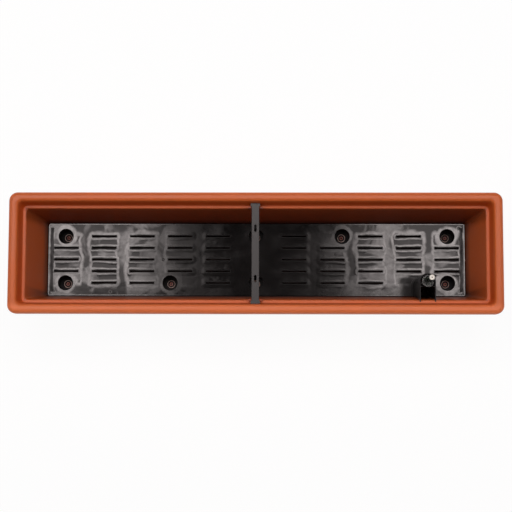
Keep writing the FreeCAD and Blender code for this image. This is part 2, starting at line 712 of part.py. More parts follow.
def add_wells(body):
    """Six wells on a grid of three by two, and a pair that are half a turn apart."""
    corner = well_at(body, "well", "-Sizes.well_end_x", "-Sizes.well_row")
    line_pattern(body, "wells", corner, "X", "2 * Sizes.well_end_x", 3,
                 "Y", "2 * Sizes.well_row", 2)
    single = well_at(body, "single_well", "-Sizes.well_inner_x", "-Sizes.well_row")
    half_turn(body, "single_wells", single)


def add_surface_marks(body):
    """Shallow corner dimples and the channels beside the two ends."""
    length, width = panel_size()
    x = f"({length} / 2 - Sizes.dimple_end_gap)"
    y = f"({width} / 2 - Sizes.dimple_side_gap)"
    dimples = new_sketch(body, "corner_dimples", z="Sizes.panel_top")
    for side_x in ("", "-"):
        for side_y in ("", "-"):
            add_cut_rectangle(dimples, "Sizes.dimple_width", "Sizes.dimple_width",
                              "Sizes.dimple_cut", f"{side_x}{x}", f"{side_y}{y}")
    pocket(body, dimples, "Sizes.dimple_depth")
    channels = new_sketch(body, "end_channels", z="Sizes.panel_top")
    for side_x in ("", "-"):
        add_rectangle(channels, "Sizes.channel_width", "Sizes.channel_length",
                      f"{side_x}({length} / 2 - Sizes.channel_inset)", "0")
    pocket(body, channels, "Sizes.channel_depth")


def cut_shaft_opening(body):
    _, width = panel_size()
    plan = new_sketch(body, "shaft_opening", x=shaft_x(), y="Sizes.gauge_y",
                      z="Sizes.panel_top + Sizes.bank_rise")
    add_shaft_outline(plan, "Sizes.shaft_radius + Sizes.shaft_fit",
                      f"-({width} / 2 + Sizes.gauge_y + 1)")
    pocket(body, plan, "Sizes.panel_wall + Sizes.bank_rise + Sizes.rib_drop")


# ---------------------------------------------------------------- cross brace

def make_cross_brace():
    body = new_body("cross_brace")
    top = "Sizes.brace_top"
    foot = "Sizes.ledge_height"
    low = "Sizes.brace_top - Sizes.brace_depth"
    half = "Sizes.brace_width / 2"

    def face(height):
        """The head's outer face, parallel to the collar."""
        return f"(Sizes.rim_width / 2 - {collar_inset(height)} - Sizes.brace_gap)"

    section = new_sketch(body, "brace_section", plane="XZ_Plane")
    add_polygon(section, (
        (f"-{half}", low), (f"-{half} + Sizes.brace_wall", low),
        (f"-{half} + Sizes.brace_wall", f"{top} - Sizes.brace_wall"),
        (f"{half} - Sizes.brace_wall", f"{top} - Sizes.brace_wall"),
        (f"{half} - Sizes.brace_wall", low), (half, low),
        (half, top), (f"-{half}", top),
    ))
    reach = f"({face(foot)} - Sizes.brace_head_wall / 2)"
    pad(body, section, f"2 * {reach}", midplane=True)
    for name, side in (("far_head", ""), ("near_head", "-")):
        head = new_sketch(body, name, plane="YZ_Plane")
        add_polygon(head, (
            (f"{side}({face(foot)} - Sizes.brace_head_wall)", foot),
            (f"{side}{face(foot)}", foot),
            (f"{side}{face(top)}", top),
            (f"{side}({face(foot)} - Sizes.brace_head_wall)", top),
        ))
        pad(body, head, "Sizes.brace_head_width", midplane=True)
    for name, side in (("far_hole", ""), ("near_hole", "-")):
        hole = new_sketch(body, name, y=f"{side}Sizes.brace_hole_y", z=top, turned=90)
        add_cut_rectangle(hole, "Sizes.brace_hole_length", "Sizes.brace_hole_width",
                         "Sizes.brace_hole_cut")
        pocket(body, hole, "Sizes.brace_wall + 1")
    x = number(half)

    def top_side(edge):
        box = edge.BoundBox
        along = box.YMax - box.YMin > number("Sizes.rim_width") / 2
        return along and close(box.ZMin, number(top)) and close(abs(box.XMin), x)
    round_edges(body, "Sizes.brace_edge_round", top_side, "brace_top_edges")
    return body


# ---------------------------------------------------------------- filling shaft

def make_filling_shaft():
    body = new_body("filling_shaft")
    bottom = "(Sizes.panel_top - Sizes.panel_wall - Sizes.shaft_plug)"
    hook = f"(Sizes.rim_width / 2 - {collar_inset('Sizes.ledge_height')} + 1)"
    near = f"-({hook} + Sizes.gauge_y)"
    plan = new_sketch(body, "shaft_plan", x=shaft_x(), y="Sizes.gauge_y", z=bottom)
    add_shaft_outline(plan, "Sizes.shaft_radius", near)
    pad(body, plan, f"Sizes.shaft_top - {bottom}")
    flange = new_sketch(body, "shaft_flange", x=shaft_x(), y="Sizes.gauge_y",
                        z="Sizes.panel_top")
    add_shaft_outline(flange, "Sizes.shaft_radius + Sizes.shaft_flange", near)
    pad(body, flange, "Sizes.shaft_flange_wall")
    space = new_sketch(body, "shaft_space", x=shaft_x(), y="Sizes.gauge_y",
                       z="Sizes.shaft_top")
    add_shaft_outline(space, "Sizes.shaft_radius - Sizes.shaft_wall", f"{near} - 1")
    pocket(body, space, f"Sizes.shaft_top - {bottom}")
    add_keepers(body, bottom)
    trim_to_wall(body, bottom)
    return body


def add_keepers(body, bottom):
    """Two upright ribs that hold the gauge in the shaft's round back."""
    reach = "Sizes.keeper_reach + Sizes.shaft_wall / 2"
    x = f"(Sizes.shaft_radius - Sizes.shaft_wall / 2 - ({reach}) / 2)"
    keepers = new_sketch(body, "keeper_plan", z=bottom)
    for side in ("", "-"):
        add_rectangle(keepers, f"({reach})", "Sizes.keeper_wall",
                      f"{shaft_x()} + {side}{x}", "Sizes.gauge_y - Sizes.keeper_offset")
    pad(body, keepers, f"Sizes.shaft_top - {bottom}")


def trim_to_wall(body, bottom):
    """The shaft's open side follows the sloping wall, and hooks reach over the ledge."""
    def wall_face(height):
        return f"-(Sizes.rim_width / 2 - {side_inset(height)} - Sizes.shaft_wall_gap)"

    beyond = "-Sizes.rim_width"
    over_ledge = "(Sizes.ledge_height + Sizes.brace_gap)"
    hook_end = "-(Sizes.rim_width / 2 - Sizes.ledge_inset + Sizes.shaft_hook)"
    low = f"({bottom} - 1)"
    side = new_sketch(body, "wall_trim", plane="YZ_Plane", z=shaft_x())
    add_polygon(side, (
        (beyond, low),
        (wall_face(low), low),
        (wall_face(over_ledge), over_ledge),
        (hook_end, over_ledge),
        (hook_end, "Sizes.shaft_top + 1"),
        (beyond, "Sizes.shaft_top + 1"),
    ))
    pocket(body, side, "4 * Sizes.shaft_radius", midplane=True)


# ---------------------------------------------------------------- gauge

def gauge_bottom():
    return "(Sizes.floor_top + Sizes.gauge_floor_gap)"


def chamber_radius():
    return "(Sizes.gauge_radius - Sizes.gauge_wall)"


def make_gauge_tube():
    """A clear float chamber with a ring on its shoulder and a narrow window above it."""
    body = new_body("gauge_tube")
    bottom = f"({gauge_bottom()} + Sizes.foot_wall)"
    shoulder = "(Sizes.gauge_ring_top - Sizes.gauge_ring_rise)"
    place = {"x": shaft_x(), "y": "Sizes.gauge_y"}
    outside = new_sketch(body, "tube_plan", z=bottom, **place)
    add_circle(outside, "Sizes.gauge_radius")
    pad(body, outside, f"Sizes.gauge_ring_top - {bottom}")
    dish = new_sketch(body, "ring_dish", z="Sizes.gauge_ring_top", **place)
    add_circle(dish, chamber_radius())
    pocket(body, dish, "Sizes.gauge_ring_rise")
    window_place = {"x": f"{shaft_x()} + Sizes.window_x", "y": "Sizes.gauge_y + Sizes.window_y"}
    ceiling = f"({shoulder} - Sizes.gauge_wall)"
    window = new_sketch(body, "window_plan", z=ceiling, **window_place)
    add_rounded_rectangle(window, "Sizes.window_width", "Sizes.window_depth",
                          "Sizes.window_round")
    pad(body, window, f"Sizes.window_top - {ceiling}")
    button = new_sketch(body, "window_button", z="Sizes.window_top", **window_place)
    add_circle(button, "Sizes.window_button")
    pad(body, button, "Sizes.window_button_rise")
    mark = new_sketch(body, "window_mark", z="Sizes.window_top + Sizes.window_button_rise",
                      **window_place)
    add_circle(mark, "Sizes.window_mark")
    pocket(body, mark, "Sizes.window_button_rise")
    chamber = new_sketch(body, "chamber", z=bottom, **place)
    add_circle(chamber, chamber_radius())
    pocket(body, chamber, f"{ceiling} - {bottom}", reversed_side=True)
    inside_window = new_sketch(body, "window_space", z=ceiling, **window_place)
    add_rounded_rectangle(inside_window, "(Sizes.window_width - 2 * Sizes.gauge_wall)",
                          "(Sizes.window_depth - 2 * Sizes.gauge_wall)",
                          "Sizes.window_round - Sizes.gauge_wall")
    pocket(body, inside_window, f"Sizes.window_top - Sizes.gauge_wall - {ceiling}",
           reversed_side=True)
    return body


def make_gauge_foot():
    """The cap under the float chamber: crossed ribs that plug into it and slots for the water."""
    body = new_body("gauge_foot")
    place = {"x": shaft_x(), "y": "Sizes.gauge_y"}
    base = new_sketch(body, "foot_plan", z=gauge_bottom(), **place)
    add_circle(base, "Sizes.gauge_radius")
    pad(body, base, "Sizes.foot_wall")
    span = f"(2 * ({chamber_radius()} - Sizes.foot_fit))"
    sides = (
        ("along_rib", (span, "Sizes.foot_rib")),
        ("across_rib", ("Sizes.foot_rib", span)),
    )
    for name, size in sides:
        rib = new_sketch(body, name, z=f"{gauge_bottom()} + Sizes.foot_wall / 2", **place)
        add_rectangle(rib, *size)
        pad(body, rib, "Sizes.foot_wall / 2 + Sizes.foot_spigot")
    holes = new_sketch(body, "foot_holes", z=gauge_bottom(), **place)
    for side in ("", "-"):
        add_rectangle(holes, "Sizes.foot_hole_length", "Sizes.foot_hole_width",
                      f"{side}Sizes.foot_hole_offset", f"{side}Sizes.foot_hole_offset")
    pocket(body, holes, "Sizes.foot_wall", reversed_side=True)
    return body


def float_bottom():
    return (f"({gauge_bottom()} + Sizes.foot_wall + Sizes.foot_spigot"
            " + Sizes.float_rest_gap)")


def make_gauge_float():
    body = new_body("gauge_float")
    outline = new_sketch(body, "float_plan", x=shaft_x(), y="Sizes.gauge_y",
                         z=float_bottom())
    add_circle(outline, f"{chamber_radius()} - Sizes.float_fit")
    pad(body, outline, "Sizes.float_length")
    socket = new_sketch(body, "rod_socket", x=f"{shaft_x()} + Sizes.window_x",
                        y="Sizes.gauge_y + Sizes.window_y",
                        z=f"{float_bottom()} + Sizes.float_length")
    add_circle(socket, "Sizes.rod_radius")
    pocket(body, socket, "Sizes.rod_socket")
    return body


def make_float_rod():
    """The rod on the float, with a broad head that shows in the window."""
    body = new_body("float_rod")
    place = {"x": f"{shaft_x()} + Sizes.window_x", "y": "Sizes.gauge_y + Sizes.window_y"}
    foot = f"({float_bottom()} + Sizes.float_length - Sizes.rod_socket)"
    top = ("(Sizes.window_top - Sizes.gauge_wall - Sizes.tip_clearance"
           " - Sizes.float_travel)")
    rod = new_sketch(body, "rod_plan", z=foot, **place)
    add_circle(rod, "Sizes.rod_radius")
    pad(body, rod, f"{top} - {foot}")
    tip = new_sketch(body, "tip_plan", z=f"{top} - Sizes.tip_height", **place)
    add_rectangle(tip, "Sizes.tip_width", "Sizes.tip_depth")
    pad(body, tip, "Sizes.tip_height")
    return body


# ---------------------------------------------------------------- drain plug

def make_drain_plug():
    """Pushed up into the floor from below, with its head inside the foot rim."""
    body = new_body("drain_plug")
    seat = "(Sizes.floor_top - Sizes.floor_wall)"
    head = new_sketch(body, "plug_head", x="Sizes.drain_x", z=f"{seat} - Sizes.plug_head_wall")
    add_circle(head, "Sizes.plug_head")
    pad(body, head, "Sizes.plug_head_wall")
    stem = new_sketch(body, "plug_stem", x="Sizes.drain_x", z=seat)
    add_circle(stem, "Sizes.drain_bore / 2 - Sizes.plug_fit")
    pad(body, stem, "Sizes.floor_wall + Sizes.plug_rise")
    return body


# ---------------------------------------------------------------- check and write

def check(bodies):
    for item in doc.Objects:
        if "Invalid" in item.State or "Error" in item.State:
            raise ValueError(f"{item.Name} is {item.State}")
    for body in bodies:
        shape = body.Shape
        if shape.isNull() or not shape.isValid():
            raise ValueError(f"{body.Label} has no valid shape")
        print(f"{body.Label}: {len(shape.Solids)} solid, {shape.Volume / 1000:.1f} cm3, "
              f"{len(shape.Faces)} faces")


def write(bodies):
    os.makedirs("parts", exist_ok=True)
    for body in bodies:
        body.Shape.exportStep(f"parts/{body.Label}.step")


def main():
    bodies = [
        make_trough(),
        make_false_floor(),
        make_cross_brace(),
        make_filling_shaft(),
        make_gauge_tube(),
        make_gauge_foot(),
        make_gauge_float(),
        make_float_rod(),
        make_drain_plug(),
    ]
    doc.recompute()
    check(bodies)
    write(bodies)


main()
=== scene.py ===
import json
import math

import bpy
from mathutils import Matrix, Vector


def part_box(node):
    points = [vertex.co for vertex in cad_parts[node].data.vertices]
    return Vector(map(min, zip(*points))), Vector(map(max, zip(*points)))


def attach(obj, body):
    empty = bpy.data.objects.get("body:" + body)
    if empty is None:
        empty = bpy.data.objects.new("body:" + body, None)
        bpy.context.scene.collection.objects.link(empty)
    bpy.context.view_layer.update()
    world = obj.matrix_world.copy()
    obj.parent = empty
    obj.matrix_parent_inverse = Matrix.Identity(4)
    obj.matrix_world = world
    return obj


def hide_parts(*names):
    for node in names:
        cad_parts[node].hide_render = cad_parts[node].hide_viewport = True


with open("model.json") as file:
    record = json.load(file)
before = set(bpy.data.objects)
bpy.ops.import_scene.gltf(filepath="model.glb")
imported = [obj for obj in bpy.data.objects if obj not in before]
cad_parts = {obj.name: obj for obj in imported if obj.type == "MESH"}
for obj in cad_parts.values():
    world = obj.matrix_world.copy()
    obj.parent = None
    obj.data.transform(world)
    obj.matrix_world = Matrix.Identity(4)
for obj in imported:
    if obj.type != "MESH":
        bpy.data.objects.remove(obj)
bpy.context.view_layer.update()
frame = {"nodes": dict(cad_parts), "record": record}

# A self-watering window box, seen from almost straight above: a terracotta trough with a
# rolled rim, a glossy black false floor, a dark grey brace, and a clear float gauge.
# All lengths are in metres, in the CAD model's own frame.

MM = 0.001

# Camera, as fitted to the photograph's 512 x 512 frame
CAMERA_PLACE = Vector((26.55, -198.46, 2196.09)) * MM
CAMERA_RIGHT = Vector((0.99992, 0.00228, -0.01225))
CAMERA_UP = Vector((-0.00111, 0.99551, 0.09464))
FOCAL_PIXELS = 1266.0
FRAME_PIXELS = 512
SENSOR = 36.0

# The trough's floor and the inner faces of its walls, which lean out as they rise
FLOOR_TOP = 7.5 * MM
FLOOR_HALF_LENGTH = 351 * MM
FLOOR_HALF_WIDTH = 58.7 * MM
END_WALL_SLOPE = 24.9 / 132.5
SIDE_WALL_SLOPE = 15.7 / 132.5
WALL_MARGIN = 1.2 * MM

# Steps of the terracotta's painted shade and painted light. A step is from, to, and the value at
# either end
UNDER_PANEL = (37 * MM, 42 * MM, 0.05, 0.25)
ABOVE_PANEL = (42 * MM, 68 * MM, 0.0, 0.60)
FAR_WALL = (50 * MM, 64 * MM, 1.0, 0.60)
NEAR_WALL = (-64 * MM, -50 * MM, 0.0, 1.0)
NEAR_WALL_RISE = (40 * MM, 165 * MM, 0.35, 1.0)
# The painted light on the near rim
NEAR_RIM = (-90 * MM, -78 * MM, 1.0, 0.0)
RIM_RISE = (148 * MM, 160 * MM, 0.0, 1.0)

# The trough's collar: the upright step inside its rim, which gets a painted shade
COLLAR_HALF_LENGTH = 386 * MM
COLLAR_HALF_WIDTH = 84.8 * MM
COLLAR_FOOT = (142 * MM, 145 * MM, 0.0, 1.0)
COLLAR_TOP = (156 * MM, 163 * MM, 1.0, 0.0)

# The false floor's slots and wells, which its wet film follows
PANEL_TOP = 41.5 * MM
COLUMN_PITCH = 65 * MM
ROW_PITCH = 20 * MM
SLOT_HALF_LENGTH = 20.7 * MM
SLOT_HALF_WIDTH = 1.5 * MM
BLOCK_HALF_WIDTH = 41.5 * MM
OUTER_ROWS = (30 * MM, 60 * MM)
END_COLUMN = (292.5 * MM, 360 * MM)
SINGLE_WELL_COLUMN = (97.5 * MM, 162.5 * MM)
SHAFT_COLUMN = (227.5 * MM, 292.5 * MM)
FAR_FROM_A_SLOT = 50 * MM
WELL_RADIUS = 13 * MM
WELL_BOTTOM = 11.8 * MM
WELLS = [(x * MM, y * MM) for x, y in
         ((-326, -40), (-326, 40), (-147, -40), (0, -40),
          (0, 40), (147, 40), (326, -40), (326, 40))]

# Steps of the wet film, by the distance from a block of slots, a slot or a well, or by place
BLOCK_LOOP = ((0.3 * MM, 2.8 * MM, 0.0, 1.0), (4.0 * MM, 9.0 * MM, 1.0, 0.0))
SLOT_LOOP = ((1.2 * MM, 2.4 * MM, 0.0, 1.0), (2.8 * MM, 5.5 * MM, 1.0, 0.0))
WELL_LOOP = (4.0 * MM, 8.5 * MM, 1.0, 0.0)
CLOUD = (0.46, 0.60, 0.0, 1.0)
SIDES = (105 * MM, 215 * MM, 0.05, 1.0)
SLOT_LIP = (0.2 * MM, 1.0 * MM, 0.10, 1.0)
ABOVE_WELLS = (PANEL_TOP - 3 * MM, PANEL_TOP - 1 * MM, 0.0, 1.0)
SLOT_BANK = (1.0 * MM, 8.0 * MM, 0.0, -0.22 * MM)

# How far the film's outlines wander, how much of it there is, and how smooth it makes things
BLOCK_WANDER = 20 * MM
SLOT_WANDER = 5 * MM
SIDES_WANDER = 110 * MM
BLOCK_LOOP_COVER = 0.9
CLOUD_COVER = 0.60
STREAK_SPAN = 1.6
STREAK_LEAST = 0.2
COAT_SPAN = 0.72
COAT_LEAST = 0.04
DULLING = -0.85
DRY_ROUGHNESS = 0.63
WET_SMOOTHING = -0.5
BROAD_WAVE = 1.1 * MM
SMALL_WAVE = 0.16 * MM

# Small things on the false floor: its edge, the rings round the corner dimples and edge
# lugs (X, Y, radius, brightness), the end channels, the round gates and the painted dark
# reflection beside the filling shaft
PANEL_END = (353.9 * MM, 354.5 * MM, 0.0, 1.0)
PANEL_SIDE = (59.8 * MM, 60.4 * MM, 0.0, 1.0)
MARK_RINGS = ((346.7 * MM, 54 * MM, 3.9 * MM, 0.7), (249 * MM, 55 * MM, 2.6 * MM, 0.3))
MARK_RING_HALF_WIDTH = 0.7 * MM
CHANNEL_INNER = 344.3 * MM
CHANNEL_WANDER = 5 * MM
CHANNEL_OUTER = 352.2 * MM
CHANNEL_HALF_WIDTH = 55 * MM
GATE_X = 159 * MM
GATE_RING = (1.3 * MM, 2.6 * MM)
BESIDE_SHAFT_RISE = (240 * MM, 252 * MM, 0.0, 1.0)
BESIDE_SHAFT_FALL = (262 * MM, 272 * MM, 1.0, 0.0)
BESIDE_SHAFT_BACK = (-34 * MM, -28 * MM, 1.0, 0.0)

# The rings in a well's bottom (radius, thickness), and the button on the gauge's window
NOZZLE_RAISE = 0.3 * MM
NOZZLE_OUTER = (6.2 * MM, 1.1 * MM)
NOZZLE_INNER = (2.3 * MM, 1.8 * MM)
GAUGE_WINDOW = Vector((283, -40.2)) * MM
BUTTON_DEPTH = 0.45 * MM
BUTTON_RADIUS = 4.2 * MM
BUTTON_HOLE_SHADE_RADIUS = 0.95 * MM

# How far the moulded pieces' sharp edges are rounded
PANEL_ROUNDING = 0.3 * MM
SHAFT_ROUNDING = 0.3 * MM
BRACE_ROUNDING = 0.5 * MM

# Colours
TERRACOTTA = (0.575, 0.114, 0.019)
# Painted shade: the collar's deeper, darker colour
COLLAR_SHADED_TERRACOTTA = (0.47, 0.066, 0.003)
# Painted light: the near rim's lighter colour
NEAR_RIM_LIT_TERRACOTTA = (0.74, 0.175, 0.050)
GLOSS_BLACK = (0.009, 0.0085, 0.0085)
SATIN_BLACK = (0.006, 0.0058, 0.0058)
DARK_GREY = (0.031, 0.030, 0.030)
CLEAR_GREEN = (0.26, 0.35, 0.28)
FLOAT_GREEN = (0.010, 0.028, 0.016)
# Painted light: a highlight on a well's outer ring, and the lit floor's reddish light on its
# inner ring
RING_HIGHLIGHT_COLOUR = (0.60, 0.42, 0.36)
RING_FLOOR_LIGHT_COLOUR = (0.42, 0.13, 0.09)
OFF_WHITE = (0.82, 0.80, 0.72)
LAMPLIGHT = (1.0, 0.91, 0.895)

# Light: the world's step by the height of a direction, and the lamps over the trough, with
# the softboxes' inner and outer ends and levels
WORLD_STEP = (0.25, 0.6, 0.55, 0.008)
SIDE_BOXES = ((0.38, 0.82, 3.4), (0.28, 0.82, 2.4), (0.18, 0.82, 1.6))
SIDE_BOX_Y = 0.36
SIDE_BOX_WIDTH = 0.62
SIDE_BOX_HEIGHT = 2.0
FAR_OUT = 1.0
AIM = Vector((0, 0, 0.1))


# ------------------------------------------------------------ helpers

def select_only(*pieces):
    bpy.ops.object.select_all(action="DESELECT")
    for piece in pieces:
        piece.select_set(True)
    bpy.context.view_layer.objects.active = pieces[0]


def body_of(node):
    for body, members in frame["record"]["behaviour"]["bodies"].items():
        if node in members:
            return body
    raise KeyError(node)


def smooth_shell(node, name, crease=30, edge=None):
    """A smooth-shaded copy of a CAD node, merged into one skin, which stands for it.

    With an edge radius its sharp edges are rounded off as a moulding's are."""
    piece = bpy.data.objects.new(name, frame["nodes"][node].data.copy())
    bpy.context.scene.collection.objects.link(piece)
    piece.data.materials.clear()
    select_only(piece)
    bpy.ops.object.mode_set(mode="EDIT")
    bpy.ops.mesh.select_all(action="SELECT")
    bpy.ops.mesh.remove_doubles(threshold=0.001 * MM)
    bpy.ops.mesh.customdata_custom_splitnormals_clear()
    if edge:
        bpy.ops.mesh.dissolve_limited(angle_limit=math.radians(1.0))
    bpy.ops.object.mode_set(mode="OBJECT")
    if edge:
        rounded = piece.modifiers.new("rounded_edges", "BEVEL")
        rounded.limit_method = "ANGLE"
        rounded.angle_limit = math.radians(35)
        rounded.width = edge
        rounded.segments = 2
        bpy.ops.object.modifier_apply(modifier=rounded.name)
    bpy.ops.object.shade_smooth_by_angle(angle=math.radians(crease))
    weighted = piece.modifiers.new("even_shading", "WEIGHTED_NORMAL")
    weighted.keep_sharp = True
    weighted.weight = 100
    bpy.ops.object.modifier_apply(modifier=weighted.name)
    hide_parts(node)
    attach(piece, body_of(node))
    return piece


def ring(name, body, place, radius, thickness, material):
    """A round ring that lies flat at a place."""
    bpy.ops.object.select_all(action="DESELECT")
    bpy.ops.mesh.primitive_torus_add(major_radius=radius, minor_radius=thickness / 2,
                                     major_segments=40, minor_segments=10, location=place)
    piece = bpy.context.object
    bpy.ops.object.transform_apply(location=True, rotation=True, scale=True)
    bpy.ops.object.shade_smooth()
    piece.name = name
    piece.data.materials.append(material)
    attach(piece, body)
    return piece


def joined(pieces, name):
    select_only(*pieces)
    bpy.ops.object.join()
    pieces[0].name = name
    return pieces[0]


def dress(node, material):
    slots = frame["nodes"][node].data.materials
    slots.clear()
    slots.append(material)


# ------------------------------------------------------------ shader parts

def new_group(name, inputs, outputs):
    """A shader node group with named inputs (name, kind, value) and outputs (name, kind)."""
    group = bpy.data.node_groups.new(name, "ShaderNodeTree")
    for label, kind, value in inputs:
        socket = group.interface.new_socket(label, in_out="INPUT", socket_type=kind)
        if value is not None:
            socket.default_value = value
    for label, kind in outputs:
        group.interface.new_socket(label, in_out="OUTPUT", socket_type=kind)
    return group


def add(tree, kind, settings=None, **inputs):
    """A shader node with its settings and its inputs, each a value or another socket."""
    node = tree.nodes.new(f"ShaderNode{kind}")
    for key, value in (settings or {}).items():
        setattr(node, key, value)
    for key, value in inputs.items():
        socket = node.inputs[key.replace("_", " ")]
        if isinstance(value, bpy.types.NodeSocket):
            tree.links.new(value, socket)
        else:
            socket.default_value = value
    return node


def maths(tree, operation, *values):
    node = tree.nodes.new("ShaderNodeMath")
    node.operation = operation
    for socket, value in zip(node.inputs, values):
        if isinstance(value, bpy.types.NodeSocket):
            tree.links.new(value, socket)
        else:
            socket.default_value = value
    return node.outputs["Value"]


def eased(tree, value, low, high, start=0.0, end=1.0):
    """A smooth step between two values, from start to end."""
    node = add(tree, "MapRange", {"interpolation_type": "SMOOTHSTEP"}, Value=value)
    for label, amount in (("From Min", low), ("From Max", high),
                          ("To Min", start), ("To Max", end)):
        node.inputs[label].default_value = amount
    return node.outputs["Result"]


def within(tree, value, low, high):
    """1 where a value lies between two limits, else 0."""
    return maths(tree, "COMPARE", value, (low + high) / 2, (high - low) / 2)


def product(tree, *values):
    result = values[0]
    for value in values[1:]:
        result = maths(tree, "MULTIPLY", result, value)
    return result


def greatest(tree, *values):
    result = values[0]
    for value in values[1:]:
        result = maths(tree, "MAXIMUM", result, value)
    return result


def distance(tree, a, b):
    """The length of the diagonal over two sides."""
    return maths(tree, "SQRT", maths(tree, "ADD", product(tree, a, a), product(tree, b, b)))


def noise(tree, place, scale, detail=2.0, roughness=0.5, distortion=0.0):
    return add(tree, "TexNoise", Vector=place, Scale=scale, Detail=detail,
               Roughness=roughness, Distortion=distortion).outputs["Fac"]


def object_place(tree):
    return tree.nodes.new("ShaderNodeTexCoord").outputs["Object"]


def make_moulding_group():
    """Cloudy colour, uneven gloss and fine grain of moulded plastic."""
    group = new_group(
        "moulded_surface",
        (("Place", "NodeSocketVector", None), ("Cloud size", "NodeSocketFloat", 14.0),
         ("Grain size", "NodeSocketFloat", 1400.0), ("Cloudiness", "NodeSocketFloat", 0.12)),
        (("Shade", "NodeSocketFloat"), ("Gloss", "NodeSocketFloat"),
         ("Height", "NodeSocketFloat")))
    entry = group.nodes.new("NodeGroupInput").outputs
    leave = group.nodes.new("NodeGroupOutput").inputs
    clouds = noise(group, entry["Place"], entry["Cloud size"], detail=4.0, distortion=0.6)
    specks = noise(group, entry["Place"], entry["Grain size"], detail=3.0)
    centred = maths(group, "SUBTRACT", clouds, 0.5)
    shade = maths(group, "MULTIPLY_ADD", centred, entry["Cloudiness"], 1.0)
    specked = maths(group, "MULTIPLY_ADD", specks, 0.04, -0.02)
    group.links.new(maths(group, "ADD", shade, specked), leave["Shade"])
    group.links.new(maths(group, "MULTIPLY_ADD", centred, 0.35, 0.0), leave["Gloss"])
    group.links.new(specks, leave["Height"])
    return group


def moulded(tree, group, place, cloud_size, grain_size, cloudiness):
    node = tree.nodes.new("ShaderNodeGroup")
    node.node_tree = group
    tree.links.new(place, node.inputs["Place"])
    node.inputs["Cloud size"].default_value = cloud_size
    node.inputs["Grain size"].default_value = grain_size
    node.inputs["Cloudiness"].default_value = cloudiness
    return node.outputs


def new_material(name):
    material = bpy.data.materials.new(name)
    material.use_nodes = True
    tree = material.node_tree
    return material, tree, tree.nodes["Principled BSDF"]


def mixed_colour(tree, blend_type, factor, first, second):
    """Two colours mixed, each a constant or a socket."""
    mix = add(tree, "Mix", {"data_type": "RGBA", "blend_type": blend_type})
    inputs = [mix.inputs["Factor"]] + [socket for socket in mix.inputs if socket.type == "RGBA"]
    for socket, value in zip(inputs, (factor, first, second)):
        if isinstance(value, bpy.types.NodeSocket):
            tree.links.new(value, socket)
        elif isinstance(value, tuple):
            socket.default_value = (*value, 1.0)
        else:
            socket.default_value = value
    return [socket for socket in mix.outputs if socket.type == "RGBA"][0]


def shaded_colour(tree, colour, shade):
    """A colour made lighter and darker by a factor near one."""
    grey = add(tree, "CombineColor", Red=shade, Green=shade, Blue=shade).outputs["Color"]
    return mixed_colour(tree, "MULTIPLY", 1.0, colour, grey)


def finish_surface(tree, shader, surface, colour, roughness, grain, shade=None):
    """The parts that every moulded plastic here shares: colour, roughness and grain.

    Colour and roughness are each a constant or a socket. A shade darkens the colour."""
    if shade is None:
        shade = surface["Shade"]
    else:
        shade = product(tree, shade, surface["Shade"])
    tree.links.new(shaded_colour(tree, colour, shade), shader.inputs["Base Color"])
    uneven = maths(tree, "ADD", surface["Gloss"], roughness)
    tree.links.new(uneven, shader.inputs["Roughness"])
    bump = add(tree, "Bump", Strength=1.0, Distance=grain, Height=surface["Height"])
    tree.links.new(bump.outputs["Normal"], shader.inputs["Normal"])
    return bump


# ------------------------------------------------------------ materials

def inside_walls(tree, axes):
    """1 on the inner faces of the tapered walls and on the floor between them, else 0."""
    height = maths(tree, "SUBTRACT", axes["Z"], FLOOR_TOP)
    inner = []
    for axis, at_floor, slope in (("X", FLOOR_HALF_LENGTH, END_WALL_SLOPE),
                                  ("Y", FLOOR_HALF_WIDTH, SIDE_WALL_SLOPE)):
        face = maths(tree, "MULTIPLY_ADD", height, slope, at_floor + WALL_MARGIN)
        inner.append(maths(tree, "LESS_THAN", maths(tree, "ABSOLUTE", axes[axis]), face))
    return product(tree, *inner)


def make_terracotta(group):
    """Satin through-coloured plastic, a little cloudy, with a painted shade that darkens it in
    the reservoir.

    Painted shade deepens its collar's colour, and painted light makes its near rim lighter."""
    material, tree, shader = new_material("terracotta_plastic")
    place = object_place(tree)
    surface = moulded(tree, group, place,
                      cloud_size=11.0, grain_size=900.0, cloudiness=0.22)
    axes = add(tree, "SeparateXYZ", Vector=place).outputs
    # Painted shade: darker towards the false floor and under it, on the far wall, and low on the
    # near wall
    painted_shading = maths(tree, "ADD", eased(tree, axes["Z"], *UNDER_PANEL),
                    eased(tree, axes["Z"], *ABOVE_PANEL))
    far = eased(tree, axes["Y"], *FAR_WALL)
    near = greatest(tree, eased(tree, axes["Y"], *NEAR_WALL),
                    eased(tree, axes["Z"], *NEAR_WALL_RISE))
    inner = inside_walls(tree, axes)
    not_inside = maths(tree, "SUBTRACT", 1.0, inner)
    shade = maths(tree, "ADD", product(tree, inner, painted_shading, far, near), not_inside)
    off_x = maths(tree, "ABSOLUTE", axes["X"])
    off_y = maths(tree, "ABSOLUTE", axes["Y"])
    # Painted shade: the collar is given a deeper, darker colour
    collar = product(tree, maths(tree, "LESS_THAN", off_x, COLLAR_HALF_LENGTH),
                     maths(tree, "LESS_THAN", off_y, COLLAR_HALF_WIDTH),
                     eased(tree, axes["Z"], *COLLAR_FOOT),
                     eased(tree, axes["Z"], *COLLAR_TOP))
    colour = mixed_colour(tree, "MIX", collar, TERRACOTTA, COLLAR_SHADED_TERRACOTTA)
    # Painted light: the near rim is made lighter
    near_rim_light = product(tree, eased(tree, axes["Y"], *NEAR_RIM),
                       eased(tree, axes["Z"], *RIM_RISE))
    colour = mixed_colour(tree, "MIX", near_rim_light, colour, NEAR_RIM_LIT_TERRACOTTA)
    finish_surface(tree, shader, surface, colour, roughness=0.45, grain=0.02 * MM,
                   shade=shade)
    shader.inputs["Specular IOR Level"].default_value = 0.5
    return material


